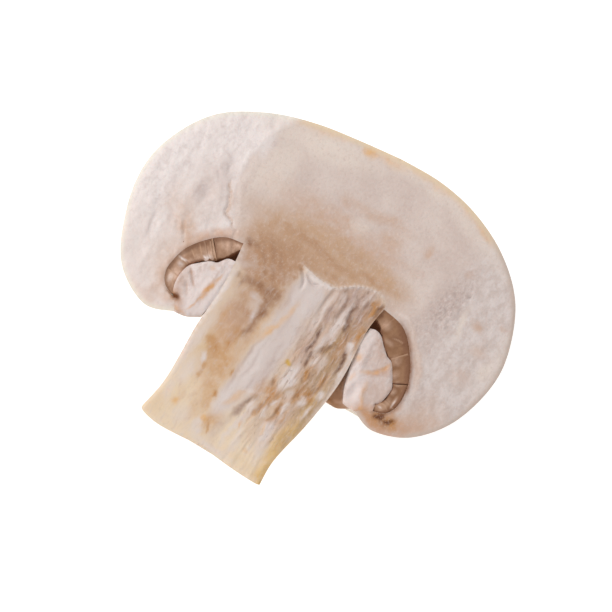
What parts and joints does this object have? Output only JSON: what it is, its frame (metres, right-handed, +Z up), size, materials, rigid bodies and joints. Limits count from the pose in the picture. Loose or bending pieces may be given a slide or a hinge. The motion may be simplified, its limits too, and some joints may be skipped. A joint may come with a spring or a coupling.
{
  "type": "halved button mushroom",
  "caption": "Half of a closed button mushroom, cut lengthwise through cap and stem, lying on its rounded back with the cut face up and the gills showing.",
  "frame": {"origin": "bottom centre of the resting half's bounding box, on the surface that it lies on", "axes": "+Z up; +X along the cap's width, to the right of the cut face; +Y from the lowered stem end towards the cap's crown"},
  "size_m": [0.0454, 0.0394, 0.0269],
  "materials": {
    "cap_flesh": "matte, moist cut flesh and dry pale skin",
    "stem_flesh": "matte, fibrous, with tan bruises",
    "veil": "matte, soft and pale",
    "gills": "matte, smooth and brown"
  },
  "bodies": {
    "root": {"cap": "cap_flesh", "stem": "stem_flesh", "veil": "veil", "gill_01": "gills", "gill_02": "gills", "gill_03": "gills", "gill_04": "gills", "gill_05": "gills", "gill_06": "gills", "gill_07": "gills", "gill_08": "gills", "gill_09": "gills", "gill_10": "gills", "gill_11": "gills", "gill_12": "gills", "gill_13": "gills", "gill_14": "gills", "gill_15": "gills", "gill_16": "gills", "gill_17": "gills", "gill_18": "gills", "gill_19": "gills", "gill_20": "gills", "gill_21": "gills", "gill_22": "gills", "gill_23": "gills", "gill_24": "gills", "gill_25": "gills", "gill_26": "gills", "gill_27": "gills", "gill_28": "gills", "gill_29": "gills", "gill_30": "gills", "gill_31": "gills", "gill_32": "gills", "gill_33": "gills", "gill_34": "gills", "gill_35": "gills", "gill_36": "gills", "gill_37": "gills", "gill_38": "gills", "gill_39": "gills", "gill_40": "gills", "gill_41": "gills", "gill_42": "gills", "gill_43": "gills", "gill_44": "gills", "gill_45": "gills", "gill_46": "gills", "gill_47": "gills", "gill_48": "gills"}
  },
  "joints": []
}
